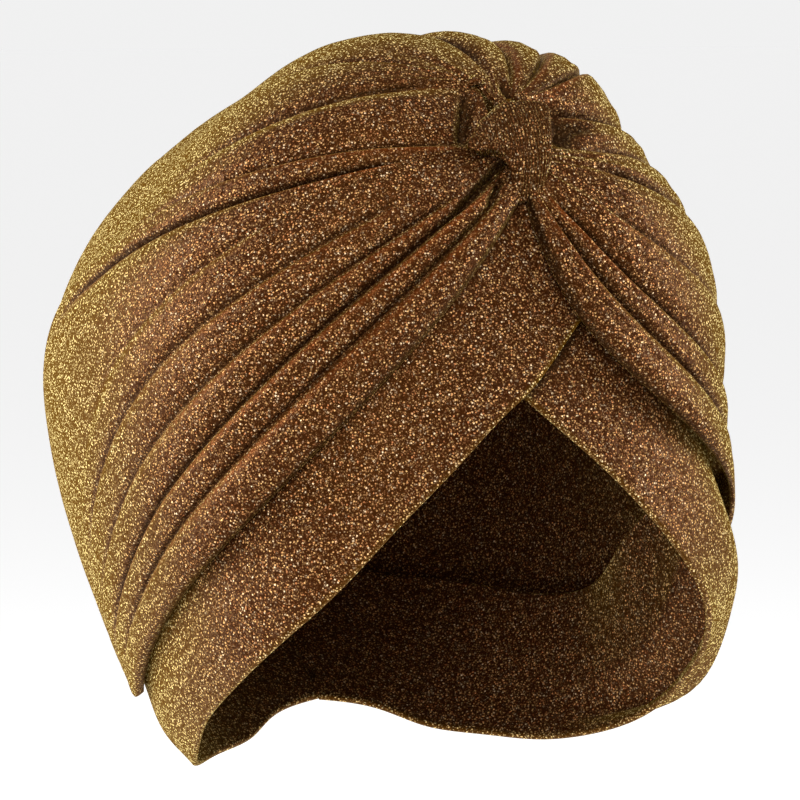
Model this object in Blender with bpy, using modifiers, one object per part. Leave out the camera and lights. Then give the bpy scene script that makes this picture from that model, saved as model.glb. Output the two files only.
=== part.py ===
"""Pull-on pleated turban: a hollow fan-pleated crown, two crossed straps and a knot tab.

Frame: metres, +Z up, the face towards -Y, the wearer's left towards +X. The origin is the
centre of the head opening, at the height of the lowest edge of the straps.
"""

from typing import NamedTuple

import bpy
import numpy as np

MM = 0.001

# Smooth form under the pleats: a radius in every direction from its centre
FORM_CENTRE_MM = np.array([-1.2, 1.0, 108.0])
FORM_SQUARENESS = 2.47


class OutlineRow(NamedTuple):
    """Side outline: 0 degrees faces forward, 90 up, 180 back."""

    angle_deg: float
    radius_mm: float


SIDE_OUTLINE = (
    OutlineRow(-90, 131.0),
    OutlineRow(-62, 140.5),
    OutlineRow(-38, 138.0),
    OutlineRow(-15, 113.5),
    OutlineRow(15, 103.0),
    OutlineRow(40, 109.5),
    OutlineRow(60, 114.5),
    OutlineRow(80, 108.5),
    OutlineRow(100, 98.0),
    OutlineRow(120, 99.5),
    OutlineRow(145, 106.5),
    OutlineRow(170, 118.0),
    OutlineRow(195, 119.0),
    OutlineRow(220, 115.0),
    OutlineRow(245, 116.0),
)
FULL_TURN_DEG = 360.0


class WidthRow(NamedTuple):
    """Half width of the front outline; rise is -1 straight down, 0 level, 1 straight up."""

    rise: float
    half_width_mm: float


FRONT_OUTLINE = (
    WidthRow(-0.95, 95.0),
    WidthRow(-0.7, 91.5),
    WidthRow(-0.4, 90.0),
    WidthRow(0.0, 91.8),
    WidthRow(0.4, 90.5),
    WidthRow(0.8, 78.0),
)

# Knot that the pleats gather into, and the two rings round it that the fan crosses
KNOT_RISE_DEG = 47.4
KNOT_TO_LEFT_DEG = 2.9
KNOT_REACH_MM = 110.0
GATHER_HALF_WIDTH_MM = 3.5
NEAR_RING_DEG = 34.0
FAR_RING_DEG = 76.0


class Crease(NamedTuple):
    """One crease of the fan, from the wearer's right over the top to the left.

    start_mm is where it leaves the gathers, along the knot, and sunk_mm how deep it lies there.
    near_deg and far_deg are where it crosses the two rings, 0 towards the wearer's right and 90
    up. rim_deg is where it meets the rim, 90 at the nape. depth_mm is how deep it lies, first
    and last the part of its run that it shows on. The last three say how much fuller than the
    form the cloth lies near the knot, at the side and at the rim.
    """

    name: str
    start_mm: float
    sunk_mm: float
    near_deg: float
    far_deg: float
    rim_deg: float
    depth_mm: float
    first: float
    last: float
    near_full_mm: float
    side_full_mm: float
    rim_full_mm: float


FAN = (
    Crease("right_edge", -23.0, 1.0, -58.0, -41.4, 177.0, 2.2, 0.00, 1.05, 0.0, 0.0, -0.6),
    Crease("right_roll", -16.5, 1.5, -46.0, -33.1, 166.0, 1.4, 0.03, 0.85, 0.0, 0.0, -0.8),
    Crease("right_deep", -12.4, 2.0, -38.0, -27.0, 157.0, 1.7, 0.03, 0.88, 0.0, 0.0, -0.8),
    Crease("right_thin", -10.8, 2.0, -30.6, -18.9, 151.0, 1.2, 0.07, 0.80, 0.0, 0.0, -0.8),
    Crease("right_long", -7.5, 1.5, -20.9, -9.2, 146.5, 1.2, 0.13, 0.78, 0.0, 0.0, -0.8),
    Crease("right_faint", -6.0, 1.5, -8.0, -0.3, 142.5, 0.7, 0.26, 0.50, 0.0, 0.0, -0.8),
    Crease("rope_under", -5.0, 1.5, -0.6, 20.6, 131.5, 2.0, 0.10, 0.66, 0.0, 1.0, -0.4),
    Crease("rope_over", -4.4, 2.5, 7.8, 26.0, 127.0, 2.4, 0.04, 0.32, 0.0, 0.2, 0.0),
    Crease("crown_side", 12.5, 5.5, 25.8, 34.0, 120.0, 1.5, 0.03, 0.30, 0.0, -2.0, 0.0),
    Crease("crown_soft", 12.5, 2.0, 49.6, 57.0, 112.0, 0.9, 0.06, 0.34, -0.6, -0.8, 0.0),
    Crease("top_right", 7.0, 1.5, 86.0, 79.0, 104.0, 1.5, 0.04, 0.40, 0.4, 0.0, 0.0),
    Crease("top_mid", 5.5, 1.5, 106.5, 92.5, 93.0, 1.7, 0.03, 0.42, -0.6, 0.0, 0.0),
    Crease("top_left", 5.5, 1.0, 125.0, 108.0, 82.0, 1.4, 0.03, 0.40, 1.6, 0.0, 0.0),
    Crease("crown_left", 4.5, 1.0, 139.5, 119.0, 71.0, 1.3, 0.03, 0.40, 2.4, 0.0, 0.0),
    Crease("left_hollow", -1.0, 5.5, 158.3, 133.0, 61.0, 1.8, 0.03, 0.40, -0.4, 0.0, 0.0),
    Crease("left_crown", -5.0, 3.0, 173.5, 152.5, 52.5, 1.2, 0.05, 0.40, -1.4, 0.0, 0.0),
    Crease("left_high", -8.0, 2.0, 189.5, 171.5, 44.0, 1.4, 0.07, 0.50, 0.6, 0.0, 0.0),
    Crease("left_soft", -10.0, 1.5, 213.5, 188.5, 31.0, 1.0, 0.09, 0.60, 1.6, -1.0, 1.0),
    Crease("left_deep", -11.8, 1.5, 231.0, 204.3, 19.5, 1.9, 0.04, 0.75, 0.0, -1.0, 2.4),
    Crease("left_roll", -14.0, 1.5, 240.5, 212.5, 6.0, 1.0, 0.05, 0.60, 0.0, -0.4, 4.0),
    Crease("left_edge", -17.0, 2.0, 254.7, 221.6, -10.0, 2.0, 0.00, 0.60, 0.0, 1.6, 5.0),
)

# Section of the pleats: a rounded ridge between two sharp creases
SWELL_PER_DEPTH = 1.25
SETTLE_PER_DEPTH = 0.5
RIDGE_LEAN = -0.2
ROUNDNESS = 0.6
GROOVE_SHARE = 0.3

# How the creases come and go along their run, which is 0 at the knot and 1 at the rim
COME_BEFORE = 0.02
COME_OVER = 0.05
FADE = 0.14
GATHER_RUN = 0.12

# Where along the run the table's three kinds of fullness apply
NEAR_RUN = 0.14
SIDE_RUN = 0.55
RIM_RUN = 0.92

CROWN_WALL_MM = 1.6
RIM_HEIGHT_AT_NAPE_MM = 24.0
RIM_HEIGHT_AT_EARS_MM = 22.0
RIM_EAR_DEG = 93.0

# Mesh steps of the crown, closer together towards the knot
CROWN_STEPS_PER_FOLD = 4
CROWN_RINGS = 26
CROWN_RING_CROWDING = 1.35

# Search for the direction in which the form has a given height
LOWEST_DEG = -77.0
HIGHEST_DEG = 86.0
SEARCH_STEPS = 40


class StrapSection(NamedTuple):
    """One cut across a strap, turning from the nape at 180 round to the forehead at 0.

    Degrees below 0 have passed the middle of the forehead. The sinks are how far the two edges
    lie below the smooth form, bulge_mm how far the strap swells out again over the ear, and
    bulge_share how much of its width the swelling takes up, from the lower edge.
    """

    low_deg: float
    low_z_mm: float
    low_sink_mm: float
    high_deg: float
    high_z_mm: float
    high_sink_mm: float
    bulge_mm: float
    bulge_share: float


OVER_STRAP = (
    StrapSection(179.8, 11.0, 6.0, 179.8, 44.0, 6.0, 0.0, 0.66),
    StrapSection(160.0, 8.0, 6.0, 160.0, 43.5, 6.0, 0.0, 0.66),
    StrapSection(140.0, 3.0, 6.0, 140.0, 42.5, 6.0, 0.0, 0.66),
    StrapSection(117.0, 1.0, 5.0, 120.0, 41.5, 6.0, 1.0, 0.66),
    StrapSection(95.0, 1.5, 4.0, 102.0, 41.0, 6.0, 1.5, 0.66),
    StrapSection(77.0, 8.5, 4.0, 88.0, 43.0, 6.0, 1.5, 0.66),
    StrapSection(65.0, 20.0, 4.5, 76.0, 52.0, 6.0, 1.5, 0.66),
    StrapSection(52.0, 33.5, 5.0, 63.0, 67.0, 6.0, 1.0, 0.66),
    StrapSection(40.0, 49.5, 6.0, 51.0, 85.0, 6.0, 0.0, 0.66),
    StrapSection(31.0, 64.0, 6.0, 40.0, 106.0, 6.0, 0.0, 0.66),
    StrapSection(22.0, 81.5, 6.0, 30.0, 128.0, 6.0, 0.0, 0.66),
    StrapSection(13.0, 97.0, 6.0, 19.0, 148.0, 6.0, 0.0, 0.66),
    StrapSection(5.0, 110.0, 6.0, 10.0, 163.0, 6.0, 0.0, 0.66),
    StrapSection(-1.0, 118.0, 6.0, 4.0, 172.0, 6.0, 0.0, 0.66),
    StrapSection(-7.0, 128.5, 6.0, -3.0, 174.0, 6.0, 0.0, 0.66),
    StrapSection(-14.0, 140.0, 6.0, -11.0, 172.0, 6.0, 0.0, 0.66),
    StrapSection(-22.0, 150.0, 6.0, -19.0, 169.0, 6.0, 0.0, 0.66),
)

UNDER_STRAP = (
    StrapSection(179.8, 11.0, 6.0, 179.8, 44.0, 6.0, 0.0, 0.66),
    StrapSection(160.0, 8.0, 6.0, 160.0, 43.5, 6.0, 0.0, 0.66),
    StrapSection(140.0, 3.0, 6.0, 140.0, 42.5, 6.0, 0.0, 0.66),
    StrapSection(117.0, 1.0, 5.0, 120.0, 41.5, 6.0, 0.0, 0.66),
    StrapSection(95.0, 1.5, 3.5, 102.0, 46.0, 6.0, 1.5, 0.44),
    StrapSection(77.0, 8.5, -1.0, 88.0, 60.0, 11.0, 6.2, 0.37),
    StrapSection(65.0, 20.0, -2.5, 76.0, 74.0, 10.0, 12.0, 0.48),
    StrapSection(52.0, 33.5, 0.5, 63.0, 82.0, 6.5, 9.5, 0.86),
    StrapSection(40.0, 49.5, 4.0, 51.0, 89.0, 6.5, 6.5, 1.00),
    StrapSection(31.0, 64.0, 5.5, 40.0, 106.0, 6.4, 2.0, 1.00),
    StrapSection(22.0, 81.5, 7.6, 30.0, 124.0, 7.6, 0.0, 0.66),
    StrapSection(13.0, 97.0, 8.6, 18.0, 139.0, 8.6, 0.0, 0.66),
    StrapSection(4.0, 110.0, 8.6, 8.0, 148.0, 8.6, 0.0, 0.66),
    StrapSection(-5.0, 123.0, 8.6, -2.0, 152.0, 8.6, 0.0, 0.66),
    StrapSection(-15.0, 136.0, 8.6, -13.0, 155.0, 8.6, 0.0, 0.66),
)

STRAP_WALL_MM = 2.0
STRAP_STEPS_ALONG = 45
STRAP_STEPS_ACROSS = 7


class TabSection(NamedTuple):
    """One cut across the knot tab: along the knot, its two sides and how far it stands out."""

    along_mm: float
    right_mm: float
    left_mm: float
    stand_mm: float


KNOT_TAB = (
    TabSection(6.0, 4.4, -11.2, 3.0),
    TabSection(4.0, 5.4, -11.4, 4.6),
    TabSection(1.0, 8.4, -11.2, 6.0),
    TabSection(-4.0, 13.0, -10.4, 6.4),
    TabSection(-8.0, 15.5, -10.0, 6.2),
    TabSection(-11.0, 11.5, -9.5, 5.4),
    TabSection(-14.0, 6.5, -9.0, 4.4),
    TabSection(-16.0, 3.2, -8.0, 2.8),
)

TAB_WALL_MM = 2.0
TAB_EDGE_DROP_MM = 2.0
TAB_STEPS_ACROSS = 9
TAB_STEPS_ALONG = 15

CLOTH_COLOUR = (0.16, 0.075, 0.022, 1.0)
CLOTH_ROUGHNESS = 0.45
CLOTH_METALLIC = 0.6


def unit(vectors):
    return vectors / np.linalg.norm(vectors, axis=-1, keepdims=True)


def smooth(low, high, values):
    share = np.clip((values - low) / (high - low), 0.0, 1.0)
    return share * share * (3.0 - 2.0 * share)


def spline(values, rows):
    """Natural cubic spline through a table of two columns."""
    knots = np.array([row[0] for row in rows], float)
    heights = np.array([row[1] for row in rows], float)
    steps = np.diff(knots)
    slopes = np.diff(heights) / steps
    count = len(knots)
    matrix = np.eye(count)
    right = np.zeros(count)
    for i in range(1, count - 1):
        matrix[i, i - 1 : i + 2] = steps[i - 1], 2.0 * (steps[i - 1] + steps[i]), steps[i]
        right[i] = 6.0 * (slopes[i] - slopes[i - 1])
    bends = np.linalg.solve(matrix, right)
    cell = np.clip(np.searchsorted(knots, values) - 1, 0, count - 2)
    step = steps[cell]
    before = (values - knots[cell]) / step
    after = 1.0 - before
    curve = (after**3 - after) * bends[cell] + (before**3 - before) * bends[cell + 1]
    return after * heights[cell] + before * heights[cell + 1] + curve * step * step / 6.0


def closed_outline():
    """The side outline carried on by a turn each way, so that its ends meet smoothly."""
    turns = (-FULL_TURN_DEG, 0.0, FULL_TURN_DEG)
    return [(row.angle_deg + turn, row.radius_mm) for turn in turns for row in SIDE_OUTLINE]


def form_radius(directions):
    """Radius of the smooth form, in millimetres, in each direction from its centre."""
    angle = np.degrees(np.arctan2(directions[..., 2], -directions[..., 1]))
    depth = spline(angle, closed_outline())
    width = spline(directions[..., 2], FRONT_OUTLINE)
    across = np.abs(directions[..., 0])
    upright = np.sqrt(np.maximum(1.0 - across * across, 0.0))
    mixed = (upright / depth) ** FORM_SQUARENESS + (across / width) ** FORM_SQUARENESS
    return mixed ** (-1.0 / FORM_SQUARENESS)


def on_form(directions, stand_mm):
    """Points in metres that stand this far off the smooth form."""
    reach = form_radius(directions) + stand_mm
    return (FORM_CENTRE_MM + reach[..., None] * directions) * MM


def direction_at(azimuth_deg, height_mm, stand_mm):
    """Direction in which a surface that stands off the form has this height."""
    azimuth = np.radians(azimuth_deg)
    lowest = np.full(np.shape(azimuth), np.radians(LOWEST_DEG))
    highest = np.full(np.shape(azimuth), np.radians(HIGHEST_DEG))
    for _ in range(SEARCH_STEPS):
        middle = (lowest + highest) / 2.0
        level = np.cos(middle)
        found = np.stack([np.cos(azimuth) * level, np.sin(azimuth) * level, np.sin(middle)], -1)
        height = FORM_CENTRE_MM[2] + (form_radius(found) + stand_mm) * found[..., 2]
        lowest = np.where(height < height_mm, middle, lowest)
        highest = np.where(height < height_mm, highest, middle)
    return found


def knot_frame():
    """Direction of the knot, and the two directions across it: to the wearer's right and up."""
    rise = np.radians(KNOT_RISE_DEG)
    side = np.radians(KNOT_TO_LEFT_DEG)
    knot = np.array([np.sin(side) * np.cos(rise), -np.cos(side) * np.cos(rise), np.sin(rise)])
    right = unit(np.cross(knot, (0.0, 0.0, 1.0)))
    return knot, right, np.cross(right, knot)


def ring_directions(ring_deg, turn_deg):
    """Directions on a ring round the knot, at these turns: 0 to the wearer's right, 90 up."""
    knot, right, up = knot_frame()
    turn = np.radians(turn_deg)[..., None]
    across = np.cos(turn) * right + np.sin(turn) * up
    return np.cos(np.radians(ring_deg)) * knot + np.sin(np.radians(ring_deg)) * across


def rim_height(rim_deg):
    """Height of the crown's rim, which dips from the nape to the ears."""
    away = np.abs(rim_deg - 90.0) / RIM_EAR_DEG
    return RIM_HEIGHT_AT_NAPE_MM + (RIM_HEIGHT_AT_EARS_MM - RIM_HEIGHT_AT_NAPE_MM) * away**2


def fan_columns(steps_per_fold):
    """Position across the fan of every column: whole numbers are the creases."""
    return np.linspace(0.0, len(FAN) - 1.0, (len(FAN) - 1) * steps_per_fold + 1)


def across_fan(columns, field):
    """A column of the fan's table, read between its creases too."""
    values = [getattr(crease, field) for crease in FAN]
    return np.interp(columns, np.arange(len(FAN)), values)


def fan_directions(columns, runs):
    """Directions of the fan's lines, from the gathers to the rim, through the two rings."""
    knot, right, up = knot_frame()
    near = across_fan(columns, "near_deg")
    start = across_fan(columns, "start_mm")[:, None] * up
    start = start + GATHER_HALF_WIDTH_MM * np.cos(np.radians(near))[:, None] * right
    rim_deg = across_fan(columns, "rim_deg")
    marks = np.stack(
        [
            unit(knot + start / KNOT_REACH_MM),
            ring_directions(NEAR_RING_DEG, near),
            ring_directions(FAR_RING_DEG, across_fan(columns, "far_deg")),
            direction_at(rim_deg, rim_height(rim_deg), 0.0),
        ],
        axis=1,
    )
    spans = np.arccos(np.clip((marks[:, 1:] * marks[:, :-1]).sum(-1), -1.0, 1.0))
    places = np.concatenate([np.zeros((len(columns), 1)), np.cumsum(spans, axis=1)], axis=1)
    places /= places[:, -1:]
    lines = np.zeros((len(columns), len(runs), 3))
    for i in range(marks.shape[1]):
        weight = np.ones((len(columns), len(runs)))
        for j in range(marks.shape[1]):
            if j != i:
                apart = places[:, i : i + 1] - places[:, j : j + 1]
                weight *= (runs[None, :] - places[:, j : j + 1]) / apart
        lines += weight[..., None] * marks[:, i][:, None]
    return unit(lines)


def crease_strength(crease, runs):
    """Depth of a crease, in millimetres, along its run."""
    comes = smooth(crease.first - COME_BEFORE, crease.first + COME_OVER, runs)
    goes = 1.0 - smooth(crease.last - FADE, crease.last + FADE, runs)
    return crease.depth_mm * comes * goes


def pleat_relief(columns, runs):
    """How far the pleats stand off the smooth form: rounded ridges between sharp creases."""
    fold = np.clip(np.floor(columns).astype(int), 0, len(FAN) - 2)
    share = columns - fold
    strengths = np.array([crease_strength(crease, runs) for crease in FAN])
    before = strengths[fold]
    after = strengths[fold + 1]
    side = np.cos(np.radians(across_fan(columns, "near_deg")))
    ridge_at = 0.5 - RIDGE_LEAN * side
    eased = share ** (np.log(0.5) / np.log(ridge_at))
    ridge = np.maximum(4.0 * eased * (1.0 - eased), 0.0) ** ROUNDNESS
    groove_before = np.clip(1.0 - share / GROOVE_SHARE, 0.0, 1.0) ** 2
    groove_after = np.clip(1.0 - (1.0 - share) / GROOVE_SHARE, 0.0, 1.0) ** 2
    swell = (SWELL_PER_DEPTH * ridge[:, None] - SETTLE_PER_DEPTH) * (before + after) / 2.0
    return swell - before * groove_before[:, None] - after * groove_after[:, None]


def fullness(columns, runs):
    """How much fuller than the form the cloth lies, in millimetres."""
    near = across_fan(columns, "near_full_mm")[:, None]
    side = across_fan(columns, "side_full_mm")[:, None]
    rim = across_fan(columns, "rim_full_mm")[:, None]
    to_side = smooth(NEAR_RUN, SIDE_RUN, runs)
    to_rim = smooth(SIDE_RUN, RIM_RUN, runs)
    full = near * (1.0 - to_side) + side * (to_side - to_rim) + rim * to_rim
    return full * smooth(0.0, GATHER_RUN, runs)


def crown_points(steps_per_fold, rings):
    """Outer face of the crown: a column for each line of the fan, from the knot to the rim."""
    columns = fan_columns(steps_per_fold)
    runs = np.linspace(0.0, 1.0, rings) ** CROWN_RING_CROWDING
    sink = across_fan(columns, "sunk_mm")[:, None] * (1.0 - smooth(0.0, GATHER_RUN, runs))
    stand = pleat_relief(columns, runs) + fullness(columns, runs) - sink
    return on_form(fan_directions(columns, runs), stand)


def between_sections(sections, steps):
    """The columns of a table of sections, each read at this many even steps along it."""
    along = np.linspace(0.0, len(sections) - 1.0, steps)
    return [np.interp(along, np.arange(len(sections)), column) for column in zip(*sections)]


def strap_points(sections, towards_right, steps_along, steps_across):
    """Outer face of one strap: each section runs from its lower edge to its upper edge."""
    side = -1.0 if towards_right else 1.0
    columns = between_sections(sections, steps_along)
    low_deg, low_z, low_sink, high_deg, high_z, high_sink, bulge, reach = columns
    low = direction_at(-90.0 + side * low_deg, low_z, -low_sink)
    high = direction_at(-90.0 + side * high_deg, high_z, -high_sink)
    share = np.linspace(0.0, 1.0, steps_across)
    directions = unit(low[:, None] + share[:, None] * (high - low)[:, None])
    sink = low_sink[:, None] + share * (high_sink - low_sink)[:, None]
    swell = np.sin(np.pi * np.clip(share / reach[:, None], 0.0, 1.0)) ** 2
    return on_form(directions, bulge[:, None] * swell - sink)


def tab_points(steps_along, steps_across):
    """Outer face of the knot tab, rounded across and tucked in at its sides."""
    knot, right, up = knot_frame()
    columns = between_sections(KNOT_TAB, steps_along)
    reach, right_side, left_side, stand = [column[:, None] for column in columns]
    share = np.linspace(0.0, 1.0, steps_across)[None, :]
    across = right_side * (1.0 - share) + left_side * share
    drop = TAB_EDGE_DROP_MM * np.abs(2.0 * share - 1.0) ** 3
    offset = across[..., None] * right + reach[..., None] * up
    return on_form(unit(knot + offset / KNOT_REACH_MM), stand - drop)


def clear_scene():
    for item in list(bpy.data.objects):
        bpy.data.objects.remove(item)
    for mesh in list(bpy.data.meshes):
        bpy.data.meshes.remove(mesh)


def cloth_material(name):
    material = bpy.data.materials.new(name)
    material.use_nodes = True
    shader = material.node_tree.nodes["Principled BSDF"]
    shader.inputs["Base Color"].default_value = CLOTH_COLOUR
    shader.inputs["Roughness"].default_value = CLOTH_ROUGHNESS
    shader.inputs["Metallic"].default_value = CLOTH_METALLIC
    return material


def cloth_piece(name, points, wall_mm, collection):
    """One hollow cloth piece: an open surface through a grid of points, with a wall inwards."""
    rows, columns = points.shape[:2]
    corner = np.arange(rows * columns).reshape(rows, columns)
    faces = np.stack([corner[:-1, :-1], corner[1:, :-1], corner[1:, 1:], corner[:-1, 1:]], -1)
    mesh = bpy.data.meshes.new(name)
    mesh.from_pydata(points.reshape(-1, 3).tolist(), [], faces.reshape(-1, 4).tolist())
    outward = points[rows // 2, columns // 2] - FORM_CENTRE_MM * MM
    if mesh.polygons[len(mesh.polygons) // 2].normal.dot(outward) < 0.0:
        mesh.flip_normals()
    mesh.shade_smooth()
    piece = bpy.data.objects.new(name, mesh)
    collection.objects.link(piece)
    mesh.materials.append(cloth_material(name + "_cloth"))
    wall = piece.modifiers.new("wall", "SOLIDIFY")
    wall.thickness = wall_mm * MM
    wall.offset = -1.0
    wall.use_even_offset = False
    return piece


def build():
    clear_scene()
    turban = bpy.data.collections.new("pleated_turban")
    bpy.context.scene.collection.children.link(turban)
    cloth_piece("crown", crown_points(CROWN_STEPS_PER_FOLD, CROWN_RINGS), CROWN_WALL_MM, turban)
    over = strap_points(OVER_STRAP, True, STRAP_STEPS_ALONG, STRAP_STEPS_ACROSS)
    cloth_piece("band_over", over, STRAP_WALL_MM, turban)
    under = strap_points(UNDER_STRAP, False, STRAP_STEPS_ALONG, STRAP_STEPS_ACROSS)
    cloth_piece("band_under", under, STRAP_WALL_MM, turban)
    cloth_piece("knot_tab", tab_points(TAB_STEPS_ALONG, TAB_STEPS_ACROSS), TAB_WALL_MM, turban)


build()
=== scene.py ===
"""Looks of a pull-on pleated turban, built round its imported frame.

Everything is in metres in the row frame: +Z up, the face towards -Y, the wearer's left towards
+X. The tables give sizes in millimetres and angles in degrees.
"""

from __future__ import annotations

import logging
import math
from dataclasses import dataclass
from enum import Enum
from functools import cached_property
from typing import Any, Sequence

import bpy
import numpy as np
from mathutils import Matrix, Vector

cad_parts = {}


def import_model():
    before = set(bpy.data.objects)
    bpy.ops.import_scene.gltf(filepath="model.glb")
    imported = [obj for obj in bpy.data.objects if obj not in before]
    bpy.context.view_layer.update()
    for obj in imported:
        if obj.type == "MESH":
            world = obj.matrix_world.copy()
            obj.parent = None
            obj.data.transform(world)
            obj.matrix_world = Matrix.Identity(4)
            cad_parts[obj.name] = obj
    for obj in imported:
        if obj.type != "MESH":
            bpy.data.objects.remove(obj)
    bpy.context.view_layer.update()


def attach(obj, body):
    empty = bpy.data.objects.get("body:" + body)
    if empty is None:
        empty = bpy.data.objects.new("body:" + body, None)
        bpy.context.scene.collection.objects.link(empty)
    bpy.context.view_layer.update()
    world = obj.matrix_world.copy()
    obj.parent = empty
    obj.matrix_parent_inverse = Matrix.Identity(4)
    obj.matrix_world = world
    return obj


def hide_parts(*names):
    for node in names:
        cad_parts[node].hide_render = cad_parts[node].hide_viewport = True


MM = 0.001
BODY = "root"
FULL_TURN_DEG = 360.0
FOREHEAD_AZIMUTH_DEG = -90.0
NAPE_AZIMUTH_DEG = 90.0
MIDDLE_COLOUR = (0.5, 0.5, 0.5)

log = logging.getLogger("turban")

Array = np.ndarray
Row = tuple[float, ...]


# Shapes in numbers


def unit(vectors: Array) -> Array:
    """Scale vectors to length 1.

    Args:
        vectors: Vectors along the last axis.

    Returns:
        The same directions at length 1.
    """
    return vectors / np.linalg.norm(vectors, axis=-1, keepdims=True)


def smooth(low: Array | float, high: Array | float, values: Array) -> Array:
    """Rise from 0 to 1 with soft ends.

    Args:
        low: Value at which the rise starts.
        high: Value at which it is complete.
        values: Where to read it.

    Returns:
        The rise, from 0 to 1.
    """
    share = np.clip((values - low) / (high - low), 0.0, 1.0)
    return share * share * (3.0 - 2.0 * share)


def bump(values: Array, width: Array | float) -> Array:
    """Bell curve of height 1 at 0.

    Args:
        values: Distances from its middle.
        width: Distance at which it has sunk to about a third.

    Returns:
        The bell's height at each distance.
    """
    return np.exp(-((values / width) ** 2))


def spline(values: Array, rows: Sequence[Row]) -> Array:
    """Natural cubic spline through a table of two columns.

    Args:
        values: Where to read the curve.
        rows: Pairs of place and height, in rising order of place.

    Returns:
        Height of the curve at each value.
    """
    knots = np.array([row[0] for row in rows], float)
    heights = np.array([row[1] for row in rows], float)
    steps = np.diff(knots)
    slopes = np.diff(heights) / steps
    count = len(knots)
    matrix = np.eye(count)
    right = np.zeros(count)
    for i in range(1, count - 1):
        matrix[i, i - 1 : i + 2] = steps[i - 1], 2.0 * (steps[i - 1] + steps[i]), steps[i]
        right[i] = 6.0 * (slopes[i] - slopes[i - 1])
    bends = np.linalg.solve(matrix, right)
    cell = np.clip(np.searchsorted(knots, values) - 1, 0, count - 2)
    step = steps[cell]
    before = (values - knots[cell]) / step
    after = 1.0 - before
    curve = (after**3 - after) * bends[cell] + (before**3 - before) * bends[cell + 1]
    return after * heights[cell] + before * heights[cell + 1] + curve * step * step / 6.0


def column(rows: Sequence[Any], field: str, steps: int) -> Array:
    """Smooth curve through one column of a table of cuts.

    Args:
        rows: The table.
        field: Which of a row's values.
        steps: Number of even steps from the first row to the last.

    Returns:
        The value at each step.
    """
    along = np.linspace(0.0, len(rows) - 1.0, steps)
    return spline(along, [(place, getattr(row, field)) for place, row in enumerate(rows)])


@dataclass(frozen=True)
class HeadForm:
    """Smooth form under the cloth: a radius in every direction from its centre.

    Rows of the side outline are an angle, 0 forward and 90 up, and a radius. Rows of the front
    outline are a rise, -1 straight down and 1 straight up, and a half width.
    """

    centre_mm: Row = (-1.2, 1.0, 108.0)
    squareness: float = 2.47
    side_outline: tuple[Row, ...] = (
        (-90, 131.0),
        (-62, 140.5),
        (-38, 138.0),
        (-15, 113.5),
        (15, 103.0),
        (40, 109.5),
        (60, 114.5),
        (80, 108.5),
        (100, 98.0),
        (120, 99.5),
        (145, 106.5),
        (170, 118.0),
        (195, 119.0),
        (220, 115.0),
        (245, 116.0),
    )
    front_outline: tuple[Row, ...] = (
        (-0.95, 95.0),
        (-0.7, 91.5),
        (-0.4, 90.0),
        (0.0, 91.8),
        (0.4, 90.5),
        (0.8, 78.0),
    )
    lowest_deg: float = -77.0
    highest_deg: float = 86.0
    search_steps: int = 40

    def radius(self, directions: Array) -> Array:
        """Radius of the form.

        Args:
            directions: Unit vectors from the centre.

        Returns:
            Radius in millimetres in each direction.
        """
        angle = np.degrees(np.arctan2(directions[..., 2], -directions[..., 1]))
        turns = (-FULL_TURN_DEG, 0.0, FULL_TURN_DEG)
        outline = [(row[0] + turn, row[1]) for turn in turns for row in self.side_outline]
        depth = spline(angle, outline)
        width = spline(directions[..., 2], self.front_outline)
        across = np.abs(directions[..., 0])
        upright = np.sqrt(np.maximum(1.0 - across * across, 0.0))
        power = self.squareness
        return ((upright / depth) ** power + (across / width) ** power) ** (-1.0 / power)

    def points(self, directions: Array, stand_mm: Array | float = 0.0) -> Array:
        """Points that stand off the form.

        Args:
            directions: Unit vectors from the centre.
            stand_mm: How far each point stands off, below 0 for under the form.

        Returns:
            Points in millimetres.
        """
        reach = self.radius(directions) + stand_mm
        return np.array(self.centre_mm) + reach[..., None] * directions

    def direction_at(
        self, azimuth_deg: Array, height_mm: Array, stand_mm: Array | float = 0.0
    ) -> Array:
        """Directions in which a surface that stands off the form has a given height.

        Args:
            azimuth_deg: Azimuth of each direction from +X towards +Y.
            height_mm: Height wanted, in the row frame.
            stand_mm: How far the surface stands off the form.

        Returns:
            Unit vectors from the centre.
        """
        azimuth = np.radians(azimuth_deg)
        lowest = np.full_like(azimuth, math.radians(self.lowest_deg))
        highest = np.full_like(azimuth, math.radians(self.highest_deg))
        found = np.zeros((*azimuth.shape, 3))
        for _ in range(self.search_steps):
            middle = (lowest + highest) / 2.0
            level = np.cos(middle)
            found = np.stack(
                [np.cos(azimuth) * level, np.sin(azimuth) * level, np.sin(middle)], -1
            )
            height = self.centre_mm[2] + (self.radius(found) + stand_mm) * found[..., 2]
            lowest = np.where(height < height_mm, middle, lowest)
            highest = np.where(height < height_mm, highest, middle)
        return found


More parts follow.
